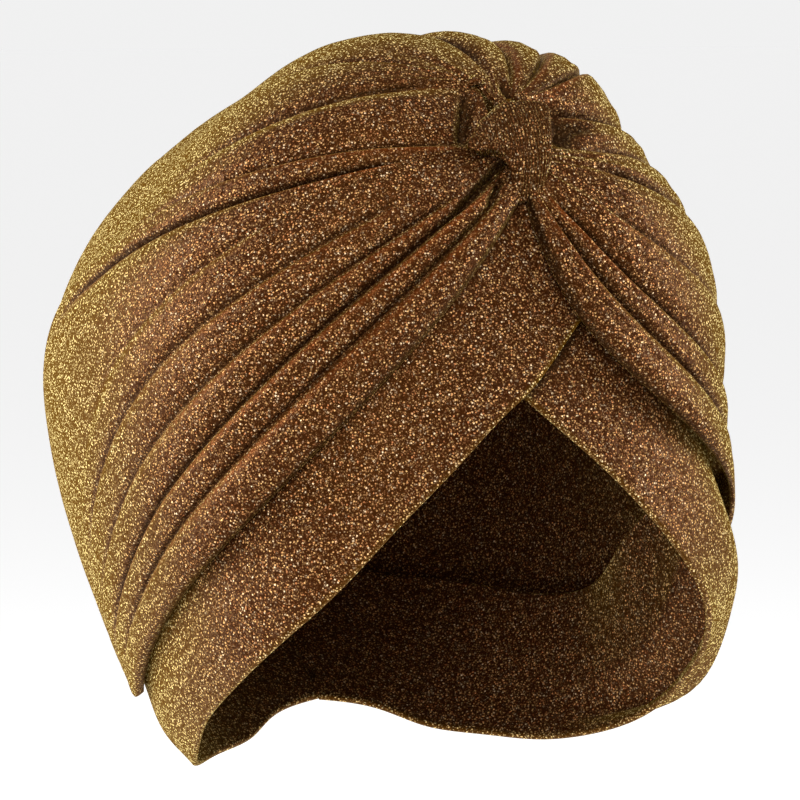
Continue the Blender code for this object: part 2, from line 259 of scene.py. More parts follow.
@dataclass(frozen=True)
class Knot:
    """Place where the pleats gather, as a direction from the form's centre."""

    rise_deg: float = 47.4
    to_left_deg: float = 2.9
    reach_mm: float = 110.0
    least_ahead: float = 0.05

    def frame(self) -> tuple[Array, Array, Array]:
        """Directions that belong to the knot.

        Returns:
            The knot itself, and across it to the wearer's right and up.
        """
        rise = math.radians(self.rise_deg)
        side = math.radians(self.to_left_deg)
        knot = np.array(
            [math.sin(side) * math.cos(rise), -math.cos(side) * math.cos(rise), math.sin(rise)]
        )
        right = unit(np.cross(knot, (0.0, 0.0, 1.0)))
        return knot, right, np.cross(right, knot)

    def ring(self, ring_deg: float, turn_deg: Array) -> Array:
        """Directions on a ring round the knot.

        Args:
            ring_deg: How far the ring lies from the knot.
            turn_deg: Turn of each direction, 0 to the wearer's right and 90 up.

        Returns:
            Unit vectors from the form's centre.
        """
        knot, right, up = self.frame()
        turn = np.radians(turn_deg)[..., None]
        across = np.cos(turn) * right + np.sin(turn) * up
        return math.cos(math.radians(ring_deg)) * knot + math.sin(math.radians(ring_deg)) * across

    def plane(self, directions: Array) -> tuple[Array, Array]:
        """Places on the flat plane that touches the cloth at the knot.

        Args:
            directions: Unit vectors from the form's centre.

        Returns:
            Millimetres to the wearer's right and along the knot, up.
        """
        knot, right, up = self.frame()
        ahead = np.maximum(directions @ knot, self.least_ahead) / self.reach_mm
        return directions @ right / ahead, directions @ up / ahead

    def polar(self, directions: Array) -> tuple[Array, Array]:
        """Distance and turn of directions round the knot.

        Args:
            directions: Unit vectors from the form's centre.

        Returns:
            Distance from the knot and turn round it, both in degrees.
        """
        knot, right, up = self.frame()
        away = np.degrees(np.arccos(np.clip(directions @ knot, -1.0, 1.0)))
        return away, np.degrees(np.arctan2(directions @ up, directions @ right))


# Cloth as a mesh


def added(name: str, data: Any) -> bpy.types.Object:
    """Put a new object into the scene.

    Args:
        name: Its name.
        data: Its mesh, lamp or camera.

    Returns:
        The object.
    """
    thing = bpy.data.objects.new(name, data)
    bpy.context.scene.collection.objects.link(thing)
    return thing


class Mark(Enum):
    """What a point of the cloth carries besides its place, as attributes of the mesh."""

    # TUCK carries painted shade, CREST a painted reddish highlight along fold crests and HEM a
    # painted sheen along a strap's lower hem.
    TUCK = "tuck"
    CREST = "crest"
    HEM = "hem"


@dataclass(frozen=True)
class ClothSheet:
    """A cloth surface with a thickness and a rounded hem on all four sides."""

    wall_mm: float
    hem_shares: Row = (0.13, 0.5, 1.0)
    widest_hem: float = 0.6

    def edged(self, grid: Array, axis: int) -> Array:
        """Add the hem's rows next to both borders of one axis.

        Args:
            grid: Points with their marks behind them, in two directions.
            axis: The direction that gets the rows.

        Returns:
            The finer grid.
        """
        rows = np.moveaxis(grid, axis, 0)
        strips = []
        for edge, inner in ((rows[0], rows[1]), (rows[-1], rows[-2])):
            step = inner - edge
            length = np.linalg.norm(step[..., :3], axis=-1, keepdims=True)
            reach = np.minimum(self.wall_mm / 2.0, self.widest_hem * length) / length
            strips.append([edge + step * reach * share for share in self.hem_shares])
        body = [rows[:1], np.array(strips[0]), rows[1:-1], np.array(strips[1][::-1]), rows[-1:]]
        return np.moveaxis(np.concatenate(body), 0, axis)

    def fullness(self, count: int) -> Array:
        """Share of the full thickness along one axis, from 0 at both borders.

        Args:
            count: Number of rows along that axis.

        Returns:
            A share for each row.
        """
        rise = [math.sqrt(1.0 - (1.0 - share) ** 2) for share in self.hem_shares]
        full = np.ones(count)
        full[: len(rise) + 1] = [0.0, *rise]
        full[-len(rise) - 1 :] = [0.0, *rise][::-1]
        return full

    def piece(
        self, name: str, outer: Array, marks: dict[Mark, Array], material: bpy.types.Material
    ) -> bpy.types.Object:
        """Make the cloth as one closed mesh and dress it.

        Args:
            name: Name of the piece.
            outer: Outer face as a grid of points in millimetres.
            marks: What each point carries, 0 for what is left out.
            material: What it is made of.

        Returns:
            The new object, in the scene.
        """
        plain = np.zeros(outer.shape[:2])
        channels = [outer] + [marks.get(mark, plain)[..., None] for mark in Mark]
        grid = self.edged(self.edged(np.concatenate(channels, -1), 0), 1)
        rows, columns = grid.shape[:2]
        place = grid[..., :3]
        normal = unit(np.cross(np.gradient(place, axis=0), np.gradient(place, axis=1)))
        centre = place.reshape(-1, 3).mean(0)
        outward = np.sign(((place - centre) * normal).sum())
        normal = normal * outward
        full = np.minimum(self.fullness(rows)[:, None], self.fullness(columns)[None, :])
        swell = full[..., None] * normal * self.wall_mm / 2.0
        middle = place - normal * self.wall_mm / 2.0
        front = np.arange(rows * columns).reshape(rows, columns)
        back = front.copy()
        inner_count = (rows - 2) * (columns - 2)
        back[1:-1, 1:-1] = rows * columns + np.arange(inner_count).reshape(rows - 2, columns - 2)
        points = np.concatenate(
            [(middle + swell).reshape(-1, 3), (middle - swell)[1:-1, 1:-1].reshape(-1, 3)]
        )
        faces = np.concatenate([self.quads(front, outward > 0), self.quads(back, outward < 0)])
        mesh = bpy.data.meshes.new(name)
        mesh.from_pydata((points * MM).tolist(), [], faces.tolist())
        for index, mark in enumerate(Mark):
            values = grid[..., 3 + index]
            data = np.concatenate([values.reshape(-1), values[1:-1, 1:-1].reshape(-1)])
            layer = mesh.attributes.new(mark.value, "FLOAT", "POINT")
            layer.data.foreach_set("value", data.astype(np.float32))
        mesh.materials.append(material)
        mesh.shade_smooth()
        return added(name, mesh)

    @staticmethod
    def quads(index: Array, forward: bool) -> Array:
        """Faces between the points of a grid.

        Args:
            index: Number of the point in each place of the grid.
            forward: Whether the faces turn one way or the other.

        Returns:
            Four point numbers a face.
        """
        corners = [index[:-1, :-1], index[1:, :-1], index[1:, 1:], index[:-1, 1:]]
        faces = np.stack(corners, -1).reshape(-1, 4)
        return faces if forward else faces[:, ::-1]


# Shader maths


class Value:
    """A number inside a material: arithmetic on it adds Math nodes."""

    def __init__(self, graph: Graph, socket: bpy.types.NodeSocket) -> None:
        """Wrap an output socket of a graph."""
        self.graph = graph
        self.socket = socket

    def joined(self, operation: str, first: Value | float, second: Value | float) -> Value:
        """Add a Math node.

        Args:
            operation: What it does.
            first: Its first operand.
            second: Its second operand.

        Returns:
            The result.
        """
        node = self.graph.node("ShaderNodeMath", {0: first, 1: second}, operation=operation)
        return self.graph.value(node)

    def __add__(self, other: Value | float) -> Value:
        """Sum."""
        return self.joined("ADD", self, other)

    def __radd__(self, other: float) -> Value:
        """Sum with a number in front."""
        return self.joined("ADD", other, self)

    def __sub__(self, other: Value | float) -> Value:
        """Difference."""
        return self.joined("SUBTRACT", self, other)

    def __rsub__(self, other: float) -> Value:
        """Difference from a number in front."""
        return self.joined("SUBTRACT", other, self)

    def __mul__(self, other: Value | float) -> Value:
        """Product."""
        return self.joined("MULTIPLY", self, other)

    def __rmul__(self, other: float) -> Value:
        """Product with a number in front."""
        return self.joined("MULTIPLY", other, self)

    def __pow__(self, other: float) -> Value:
        """Power."""
        return self.joined("POWER", self, other)

    def at_least(self, other: Value | float) -> Value:
        """Larger of the two."""
        return self.joined("MAXIMUM", self, other)


@dataclass
class Graph:
    """The nodes of one material or world."""

    owner: bpy.types.Material | bpy.types.World

    def __post_init__(self) -> None:
        """Start from an empty tree."""
        self.owner.use_nodes = True
        self.owner.node_tree.nodes.clear()

    def node(self, kind: str, sockets: dict[str | int, Any], **settings: Any) -> bpy.types.Node:
        """Add any node.

        Args:
            kind: Its type.
            sockets: Values or links for its inputs.
            settings: Its properties, such as an operation, set first.

        Returns:
            The node.
        """
        tree = self.owner.node_tree
        node = tree.nodes.new(kind)
        for name, value in settings.items():
            setattr(node, name, value)
        for name, value in sockets.items():
            source = value.socket if isinstance(value, Value) else value
            if isinstance(source, bpy.types.NodeSocket):
                tree.links.new(source, node.inputs[name])
            else:
                node.inputs[name].default_value = source
        return node

    def value(self, node: bpy.types.Node, output: str | int = 0) -> Value:
        """Output of a node as a number."""
        return Value(self, node.outputs[output])

    def channels(self, colour: bpy.types.NodeSocket) -> list[Value]:
        """Red, green and blue of a colour, each as a number."""
        parts = self.node("ShaderNodeSeparateColor", {0: colour})
        return [self.value(parts, index) for index in range(3)]

    def mark(self, mark: Mark) -> Value:
        """Number that the mesh carries under a name."""
        return self.value(self.node("ShaderNodeAttribute", {}, attribute_name=mark.value), "Fac")

    def rise(self, value: Value, low: float, high: float) -> Value:
        """Soft rise from 0 to 1.

        Args:
            value: What is read.
            low: Where the rise starts.
            high: Where it is complete, which may lie below low.

        Returns:
            The rise.
        """
        sockets = {"Value": value, "From Min": low, "From Max": high}
        node = self.node("ShaderNodeMapRange", sockets, interpolation_type="SMOOTHSTEP")
        return self.value(node, "Result")

    def vector(self, operation: str, *operands: Any) -> bpy.types.NodeSocket:
        """Vector maths.

        Args:
            operation: What it does.
            operands: Vectors or links, in the order of the node's inputs.

        Returns:
            The resulting vector's socket.
        """
        sockets = dict(enumerate(operands))
        return self.node("ShaderNodeVectorMath", sockets, operation=operation).outputs[0]

    def mixed(self, share: Value | float, first: Any, second: Any) -> bpy.types.NodeSocket:
        """Blend two colours.

        Args:
            share: How much of the second one.
            first: Colour or link at 0.
            second: Colour or link at 1.

        Returns:
            The blended colour's socket.
        """
        sockets = {"Factor": share, 6: first, 7: second}
        node = self.node("ShaderNodeMix", sockets, data_type="RGBA", clamp_factor=True)
        return node.outputs[2]


def rgb(red: float, green: float, blue: float) -> Row:
    """Opaque colour."""
    return (red, green, blue, 1.0)


@dataclass(frozen=True)
class MetallicKnit:
    """Fine dark knit with metallic threads that show as scattered glints.

    The glints are cells: a coarse layer of bright ones over a finer, dimmer one. Their colour is
    partly the threads' own gold and partly painted glints, each cell's brightness drawn at random.
    The base colour also carries painted shade and a painted reddish highlight along fold crests, and
    a gold shader mixed in towards the outline is a painted sheen.
    """

    # Ground and thread colours; the bright thread cells are partly the threads' own gold and partly
    # painted glints.
    ground: Row = rgb(0.026, 0.0060, 0.0010)
    fine_ground: Row = rgb(0.085, 0.026, 0.008)
    copper: Row = rgb(0.52, 0.19, 0.070)
    gold: Row = rgb(0.85, 0.50, 0.19)
    pale: Row = rgb(1.0, 0.74, 0.45)
    # Painted reddish highlight along the fold crests.
    crest_highlight: Row = rgb(0.30, 0.06, 0.006)
    # Colour of the painted shade in creases, dents and shadows.
    shade: Row = rgb(0.008, 0.003, 0.001)
    # Colours of the painted golden sheen towards the outline.
    shimmer_low: Row = rgb(0.085, 0.038, 0.002)
    shimmer_high: Row = rgb(1.0, 0.82, 0.33)
    coarse_mm: float = 0.8
    coarse_dot: Row = (0.44, 0.16)
    fine_mm: float = 0.55
    fine_dot: Row = (0.5, 0.1)
    fine_offset_m: float = 0.37
    waver_mm: float = 0.45
    waver_size_mm: float = 0.7
    coarse_power: float = 0.9
    fine_power: float = 1.2
    fine_share: float = 0.4
    pale_from: float = 0.7
    crest_highlight_share: float = 0.2
    shade_share: float = 0.8
    glint_tilt: float = 0.45
    thread_height_mm: float = 0.1
    roughness: float = 0.45
    metallic: float = 0.45
    specular: float = 0.12
    specular_tint: Row = rgb(1.0, 0.6, 0.15)
    sheen: float = 0.15
    sheen_roughness: float = 0.3
    sheen_tint: Row = rgb(1.0, 0.62, 0.12)
    edge_blend: float = 0.5
    shimmer_from: float = 0.3
    shimmer_to: float = 0.9
    shimmer_contrast: Row = (0.06, 0.5)
    shimmer_share: float = 0.9

    def cells(self, graph: Graph, size_mm: float, offset: float) -> bpy.types.Node:
        """Random cells through the cloth.

        Args:
            graph: The material's nodes.
            size_mm: Size of a cell.
            offset: Shift that keeps two layers apart, in metres.

        Returns:
            The node, with each cell's distance and random colour.
        """
        places = graph.node("ShaderNodeTexCoord", {}).outputs["Object"]
        noise_scale = 1.0 / (self.waver_size_mm * MM)
        noise = graph.node("ShaderNodeTexNoise", {"Vector": places, "Scale": noise_scale})
        waver = (self.waver_mm * MM,) * 3
        moved = graph.vector("MULTIPLY_ADD", noise.outputs["Color"], waver, places)
        moved = graph.vector("ADD", moved, (offset,) * 3)
        sockets = {"Vector": moved, "Scale": 1.0 / (size_mm * MM)}
        return graph.node("ShaderNodeTexVoronoi", sockets, voronoi_dimensions="3D", feature="F1")

    def relief(self, graph: Graph, coarse: bpy.types.Node, dot: Value) -> bpy.types.NodeSocket:
        """Normal of the cloth, where every thread stands up a little and leans its own way.

        Args:
            graph: The material's nodes.
            coarse: The coarse cells, one a thread.
            dot: Where the threads show.

        Returns:
            The normal's socket.
        """
        lean = graph.vector("SUBTRACT", coarse.outputs["Color"], MIDDLE_COLOUR)
        lean = graph.vector("MULTIPLY", lean, (self.glint_tilt,) * 3)
        surface = graph.node("ShaderNodeNewGeometry", {})
        leaning = graph.vector("ADD", surface.outputs["Normal"], lean)
        sockets = {
            "Strength": 1.0,
            "Distance": self.thread_height_mm * MM,
            "Height": dot,
            "Normal": graph.vector("NORMALIZE", leaning),
        }
        return graph.node("ShaderNodeBump", sockets).outputs[0]

    def shimmering(self, graph: Graph, tuck: Value, crest: Value) -> Value:
        """How much of the golden shimmer shows, towards the outline and on the hems.

        Args:
            graph: The material's nodes.
            tuck: Where the cloth is tucked in and shaded.
            crest: Where a painted reddish highlight lies along a fold's crest.

        Returns:
            Its share, from 0 to 1.
        """
        # Painted sheen: a matt gold shader mixed in towards the outline, kept out of the painted
        # shade and crest highlight, and raised to a painted highlight along the hems.
        facing = graph.node("ShaderNodeLayerWeight", {"Blend": self.edge_blend})
        edge = graph.rise(graph.value(facing, "Facing"), self.shimmer_from, self.shimmer_to)
        share = edge * ((1.0 - tuck) * (1.0 - crest))
        return (share * self.shimmer_share).at_least(graph.mark(Mark.HEM))

    def material(self, name: str) -> bpy.types.Material:
        """Make the material.

        Args:
            name: Its name.

        Returns:
            The material.
        """
        material = bpy.data.materials.new(name)
        graph = Graph(material)
        coarse = self.cells(graph, self.coarse_mm, 0.0)
        fine = self.cells(graph, self.fine_mm, self.fine_offset_m)
        brightness, goldness, paleness = graph.channels(coarse.outputs["Color"])
        fine_brightness = graph.channels(fine.outputs["Color"])[0]
        dot = graph.rise(graph.value(coarse, "Distance"), *self.coarse_dot)
        fine_dot = graph.rise(graph.value(fine, "Distance"), *self.fine_dot)
        # Glint brightness per cell: partly the gold threads' own colour, partly painted glints drawn
        # at random into the base colour.
        dim = fine_dot * fine_brightness**self.fine_power * self.fine_share
        glint = (dot * brightness**self.coarse_power).at_least(dim)
        tuck, crest = graph.mark(Mark.TUCK), graph.mark(Mark.CREST)
        thread = graph.mixed(goldness, self.copper, self.gold)
        thread = graph.mixed(graph.rise(paleness, self.pale_from, 1.0), thread, self.pale)
        ground = graph.mixed(fine_dot * self.fine_share, self.ground, self.fine_ground)
        colour = graph.mixed(glint, ground, thread)
        # Painted reddish highlight along the fold crests, where light catches the fold's edge.
        colour = graph.mixed(crest * self.crest_highlight_share, colour, self.crest_highlight)
        spark = graph.rise(glint, *self.shimmer_contrast)
        normal = self.relief(graph, coarse, dot)
        # Base colour, with painted shade mixed in along creases, in dents, between the tab's ribs
        # and beside the crossing strap.
        looks = {
            "Base Color": graph.mixed(tuck * self.shade_share, colour, self.shade),
            "Roughness": self.roughness,
            "Metallic": self.metallic,
            "Specular IOR Level": self.specular,
            "Specular Tint": self.specular_tint,
            "Sheen Weight": self.sheen,
            "Sheen Roughness": self.sheen_roughness,
            "Sheen Tint": self.sheen_tint,
            "Normal": normal,
        }
        knit = graph.node("ShaderNodeBsdfPrincipled", looks)
        # Painted sheen: a matt gold shader, glinting with the cells, whose colour stands for the
        # threads' reflection at grazing angles.
        golden = {
            "Base Color": graph.mixed(spark, self.shimmer_low, self.shimmer_high),
            "Roughness": 1.0,
            "Specular IOR Level": 0.0,
            "Normal": normal,
        }
        shimmer = graph.node("ShaderNodeBsdfPrincipled", golden)
        share = self.shimmering(graph, tuck, crest)
        both = {0: share, 1: knit.outputs[0], 2: shimmer.outputs[0]}
        cloth = graph.node("ShaderNodeMixShader", both)
        graph.node("ShaderNodeOutputMaterial", {"Surface": cloth.outputs[0]})
        return material


# The hat's pieces


@dataclass(frozen=True)
class Crease:
    """One crease of the fan, from the wearer's right over the top to the left.

    start_mm is where it leaves the gathers, along the knot, and sunk_mm how deep it lies there.
    near_deg and far_deg are where it crosses the two rings round the knot, and rim_deg where it
    meets the rim, 90 at the nape. depth_mm is its depth, first and last the part that shows. The
    last three say how much fuller than the form the cloth lies near the knot, at the side and at
    the rim.
    """

    name: str
    start_mm: float
    sunk_mm: float
    near_deg: float
    far_deg: float
    rim_deg: float
    depth_mm: float
    first: float
    last: float
    near_full_mm: float
    side_full_mm: float
    rim_full_mm: float


FAN = (
    Crease("right_edge", -23.0, 1.0, -58.0, -41.4, 177.0, 2.2, 0.00, 1.05, 0.0, 0.0, -0.6),
    Crease("right_roll", -16.5, 1.5, -46.0, -33.1, 166.0, 0.9, 0.03, 0.85, 0.0, 0.0, -0.8),
    Crease("right_deep", -12.4, 2.0, -38.0, -27.0, 157.0, 1.2, 0.03, 0.88, 0.0, 0.0, -0.8),
    Crease("right_thin", -10.8, 2.0, -30.6, -18.9, 151.0, 0.8, 0.07, 0.80, 0.0, 0.0, -0.8),
    Crease("right_long", -7.5, 1.5, -20.9, -9.2, 146.5, 0.8, 0.13, 0.78, 0.0, 0.0, -0.8),
    Crease("right_faint", -6.0, 1.5, -8.0, -0.3, 142.5, 0.5, 0.26, 0.50, 0.0, 0.0, -0.8),
    Crease("rope_under", -5.0, 1.5, -0.6, 20.6, 131.5, 1.7, 0.10, 0.55, 0.0, 1.0, -0.4),
    Crease("rope_over", -4.4, 2.5, 7.8, 26.0, 127.0, 2.0, 0.04, 0.32, 0.0, 0.2, 0.0),
    Crease("crown_side", 17.0, 1.5, 25.0, 32.0, 123.0, 1.2, 0.03, 0.30, 0.0, -2.2, 0.0),
    Crease("crown_soft", 16.0, 1.0, 49.6, 57.0, 116.0, 0.9, 0.06, 0.34, -0.6, -0.8, 0.0),
    Crease("top_right", 9.0, 1.5, 90.0, 80.0, 100.0, 1.7, 0.04, 0.40, -0.4, 0.0, 0.0),
    Crease("top_mid", 5.5, 1.5, 109.0, 93.0, 91.0, 1.8, 0.03, 0.42, -0.8, 0.0, 0.0),
    Crease("top_left", 6.5, 1.0, 125.0, 108.0, 82.0, 1.4, 0.03, 0.40, 1.6, 0.0, 0.0),
    Crease("crown_left", 7.0, 1.0, 139.5, 119.0, 71.0, 1.3, 0.03, 0.40, 3.4, 0.0, 0.0),
    Crease("left_hollow", 8.0, 3.0, 161.5, 138.0, 61.0, 1.8, 0.03, 0.40, -1.6, 0.0, 0.0),
    Crease("left_crown", -6.0, 3.0, 174.0, 155.0, 52.5, 1.0, 0.05, 0.40, -1.8, 0.0, 0.0),
    Crease("left_high", -8.0, 2.0, 189.5, 171.5, 44.0, 1.4, 0.07, 0.50, 0.6, 0.0, 0.0),
    Crease("left_soft", -10.0, 1.5, 213.5, 188.5, 31.0, 1.0, 0.09, 0.60, 1.6, -1.0, 1.0),
    Crease("left_deep", -11.8, 1.5, 231.0, 204.3, 19.5, 1.6, 0.04, 0.75, 0.0, -1.0, 2.4),
    Crease("left_roll", -14.0, 1.5, 240.5, 212.5, 6.0, 1.0, 0.05, 0.60, 0.0, -0.4, 4.0),
    Crease("left_edge", -17.0, 2.0, 254.7, 221.6, -10.0, 2.0, 0.00, 0.60, 0.0, 1.6, 5.0),
)


@dataclass(frozen=True)
class Dent:
    """A pocket or slit in the gathers, placed on the knot's plane.

    right_mm and along_mm are its middle, turn_deg the direction of its length, 0 to the wearer's
    right and 90 along the knot.
    """

    name: str
    right_mm: float
    along_mm: float
    turn_deg: float
    half_length_mm: float
    half_width_mm: float
    depth_mm: float

    def depth(self, right: Array, along: Array) -> Array:
        """Depth of the dent at places on the knot's plane.

        Args:
            right: Places to the wearer's right.
            along: Places along the knot.

        Returns:
            Its depth in millimetres.
        """
        turn = math.radians(self.turn_deg)
        right, along = right - self.right_mm, along - self.along_mm
        lengthwise = (right * math.cos(turn) + along * math.sin(turn)) / self.half_length_mm
        across = (along * math.cos(turn) - right * math.sin(turn)) / self.half_width_mm
        return self.depth_mm * np.exp(-(lengthwise**4) - across**2)


DENTS = (
    Dent("pocket_by_right_wing", 11.4, 4.2, 114.0, 9.0, 1.7, 5.0),
    Dent("pocket_by_left_side", -18.2, 1.2, 98.0, 6.0, 3.8, 3.4),
    Dent("wedge_beyond_left_pocket", -22.5, 1.2, 164.0, 6.5, 1.8, 2.0),
    Dent("slit_above_tab", -5.0, 10.5, 84.0, 6.0, 1.1, 2.6),
    Dent("long_slit_below", 13.2, -17.8, 143.0, 12.5, 1.2, 3.4),
    Dent("short_slit_below", 9.6, -20.5, 128.0, 5.5, 1.0, 3.0),
)


@dataclass(frozen=True)
class Ripple:
    """Fine waves that run along the folds, so many a fold, and die down away from the knot."""

    waves: float
    height_mm: float
    run_reach: float


RIPPLES = (
    Ripple(1.3, 0.22, 1.20),
    Ripple(2.2, 0.22, 0.60),
    Ripple(3.4, 0.22, 0.25),
    Ripple(5.3, 0.16, 0.12),
)


@dataclass
class PleatedCrown:
    """Fan of pleats from the knot to the rim, which hides the tops of the straps."""

    form: HeadForm
    knot: Knot
    knit: MetallicKnit
    creases: tuple[Crease, ...] = FAN
    dents: tuple[Dent, ...] = DENTS
    ripples: tuple[Ripple, ...] = RIPPLES
    gather_half_width_mm: float = 3.5
    near_ring_deg: float = 34.0
    far_ring_deg: float = 76.0
    rim_height_at_nape_mm: float = 24.0
    rim_height_at_ears_mm: float = 22.0
    rim_ear_deg: float = 93.0
    swell_per_depth: float = 1.12
    settle_per_depth: float = 0.5
    ridge_lean: float = -0.2
    roundness: float = 0.6
    groove_share: float = 0.3
    come_before: float = 0.02
    come_over: float = 0.05
    fade: float = 0.14
    gather_run: float = 0.12
    near_run: float = 0.14
    side_run: float = 0.55
    rim_run: float = 0.92
    wall_mm: float = 1.6
    fold_shares: int = 14
    rings: int = 130
    ring_crowding: float = 1.35
    cut_mm: float = 0.8
    cut_depth: float = 0.45
    tuck_mm: float = 1.9
    crest_mm: float = 2.2
    tuck_shift_mm: float = 0.5
    crest_shift_mm: float = 1.4
    full_mark_mm: float = 1.1
    dent_shade: float = 2.6
    ripple_bend: float = 2.4
    bend_by_fold: float = 0.9
    bend_by_run: float = 3.0
    swell_least: float = 0.6
    swell_by_fold: float = 1.7
    swell_by_run: float = 5.0
    seed: int = 7

    @cached_property
    def columns(self) -> Array:
        """Places across the fan, whole numbers at the creases and closer together there."""
        even = np.arange(self.fold_shares) / self.fold_shares
        share = ((1.0 - np.cos(np.pi * even)) / 2.0 + even) / 2.0
        folds = len(self.creases) - 1
        return np.append((np.arange(folds)[:, None] + share).reshape(-1), float(folds))

    @cached_property
    def runs(self) -> Array:
        """Places along each line of the fan, 0 at the knot and 1 at the rim."""
        return np.linspace(0.0, 1.0, self.rings) ** self.ring_crowding

    @cached_property
    def strengths(self) -> Array:
        """Depth of every crease along its run, in millimetres."""
        rows = []
        for crease in self.creases:
            comes = smooth(crease.first - self.come_before, crease.first + self.come_over, self.runs)
            goes = 1.0 - smooth(crease.last - self.fade, crease.last + self.fade, self.runs)
            rows.append(crease.depth_mm * comes * goes)
        return np.array(rows)

    def across(self, field: str) -> Array:
        """A column of the creases' table, read between creases too.

        Args:
            field: Which of a crease's values.

        Returns:
            The value at each place across the fan.
        """
        values = [getattr(crease, field) for crease in self.creases]
        return np.interp(self.columns, np.arange(len(self.creases)), values)

    def lines(self) -> Array:
        """Directions of the fan's lines, each a cubic through its four marks.

        Returns:
            Unit vectors from the form's centre, across the fan and along its lines.
        """
        knot, right, up = self.knot.frame()
        near, far, rim_deg = (self.across(field) for field in ("near_deg", "far_deg", "rim_deg"))
        start = self.across("start_mm")[:, None] * up
        start = start + self.gather_half_width_mm * np.cos(np.radians(near))[:, None] * right
        away = np.abs(rim_deg - NAPE_AZIMUTH_DEG) / self.rim_ear_deg
        dip = self.rim_height_at_ears_mm - self.rim_height_at_nape_mm
        rim_height = self.rim_height_at_nape_mm + dip * away**2
        marks = np.stack(
            [
                unit(knot + start / self.knot.reach_mm),
                self.knot.ring(self.near_ring_deg, near),
                self.knot.ring(self.far_ring_deg, far),
                self.form.direction_at(rim_deg, rim_height),
            ],
            axis=1,
        )
        spans = np.arccos(np.clip((marks[:, 1:] * marks[:, :-1]).sum(-1), -1.0, 1.0))
        places = np.cumsum(np.pad(spans, ((0, 0), (1, 0))), axis=1)
        places /= places[:, -1:]
        lines = np.zeros((len(self.columns), self.rings, 3))
        for i in range(marks.shape[1]):
            weight = np.ones(lines.shape[:2])
            for j in range(marks.shape[1]):
                if j != i:
                    apart = places[:, i : i + 1] - places[:, j : j + 1]
                    weight *= (self.runs - places[:, j : j + 1]) / apart
            lines += weight[..., None] * marks[:, i][:, None]
        return unit(lines)

    def relief(self) -> Array:
        """Rounded ridges between wide creases, which the solids have too.

        Returns:
            How far the cloth stands off the form.
        """
        fold = np.clip(np.floor(self.columns).astype(int), 0, len(self.creases) - 2)
        share = self.columns - fold
        before, after = self.strengths[fold], self.strengths[fold + 1]
        ridge_at = 0.5 - self.ridge_lean * np.cos(np.radians(self.across("near_deg")))
        eased = share ** (np.log(0.5) / np.log(ridge_at))
        ridge = np.maximum(4.0 * eased * (1.0 - eased), 0.0) ** self.roundness
        groove_before = np.clip(1.0 - share / self.groove_share, 0.0, 1.0) ** 2
        groove_after = np.clip(1.0 - (1.0 - share) / self.groove_share, 0.0, 1.0) ** 2
        swell = (self.swell_per_depth * ridge[:, None] - self.settle_per_depth) / 2.0
        swell = swell * (before + after)
        return swell - before * groove_before[:, None] - after * groove_after[:, None]

    def fullness(self) -> Array:
        """How much fuller than the form the cloth lies.

        Returns:
            The extra height in millimetres.
        """
        fields = ("near_full_mm", "side_full_mm", "rim_full_mm")
        near, side, rim = (self.across(field)[:, None] for field in fields)
        to_side = smooth(self.near_run, self.side_run, self.runs)
        to_rim = smooth(self.side_run, self.rim_run, self.runs)
        full = near * (1.0 - to_side) + side * (to_side - to_rim) + rim * to_rim
        return full * smooth(0.0, self.gather_run, self.runs)

    def rippled(self) -> Array:
        """Height of the fine waves between the creases.

        Returns:
            Their height in millimetres.
        """
        random = np.random.default_rng(self.seed)
        folds, runs = self.columns[:, None], self.runs
        height = np.zeros((len(folds), len(runs)))
        for ripple in self.ripples:
            start, slow, drift = random.uniform(0.0, 2.0 * np.pi, 3)
            bend = np.sin(self.bend_by_fold * folds + drift + self.bend_by_run * runs)
            swell = np.sin(self.swell_by_fold * folds + slow - self.swell_by_run * runs)
            swell = self.swell_least + (1.0 - self.swell_least) * swell
            wave = 2.0 * np.pi * ripple.waves * folds + start + self.ripple_bend * bend
            height += ripple.height_mm * swell * np.sin(wave) * np.exp(-runs / ripple.run_reach)
        return height

    def build(self) -> bpy.types.Object:
        """Make the crown's cloth and dress it.

        Returns:
            The piece.
        """
        directions = self.lines()
        steps = np.linalg.norm(np.diff(self.form.points(directions), axis=0), axis=-1)
        arc = np.cumsum(np.pad(steps, ((1, 0), (0, 0))), axis=0)
        at_crease = arc[np.searchsorted(self.columns, np.arange(len(self.creases)))]
        stand = self.relief() + self.rippled() + self.fullness()
        tuck, crest = np.zeros((2, *stand.shape))
        for crease, strength, line in zip(self.creases, self.strengths, at_crease):
            apart = arc - line
            depth = np.minimum(strength / self.full_mark_mm, 1.0)
            behind = math.copysign(1.0, math.cos(math.radians(crease.near_deg)))
            stand -= self.cut_depth * strength * bump(apart, self.cut_mm)
            # Painted shade along each crease.
            shaded = bump(apart - behind * self.tuck_shift_mm, self.tuck_mm / 2.0)
            # Painted reddish highlight on the proud fold beside each crease.
            crest_lit = bump(apart + behind * self.crest_shift_mm, self.crest_mm / 2.0)
            tuck = np.maximum(tuck, depth * shaded)
            crest = np.maximum(crest, depth * crest_lit)
        sink = self.across("sunk_mm")[:, None]
        stand -= sink * (1.0 - smooth(0.0, self.gather_run, self.runs))
        right, along = self.knot.plane(directions)
        for dent in self.dents:
            depth = dent.depth(right, along)
            stand -= depth
            # Painted shade inside each dent.
            tuck = np.maximum(tuck, self.dent_shade * depth / dent.depth_mm)
        outer = self.form.points(directions, stand)
        marks = {Mark.TUCK: np.clip(tuck, 0.0, 1.0), Mark.CREST: np.clip(crest, 0.0, 1.0)}
        material = self.knit.material("crown_knit")
        return ClothSheet(self.wall_mm).piece("pleated_crown", outer, marks, material)


@dataclass(frozen=True)
class StrapCut:
    """One cut across a strap, turning from 180 at the nape round to 0 at the forehead and past it.

    The sinks are how far its two edges lie below the form, bulge_mm how far it swells out again
    and bulge_share how much of its width that takes up, from the lower edge.
    """

    low_deg: float
    low_z_mm: float
    low_sink_mm: float
    high_deg: float
    high_z_mm: float
    high_sink_mm: float
    bulge_mm: float = 0.0
    bulge_share: float = 0.66


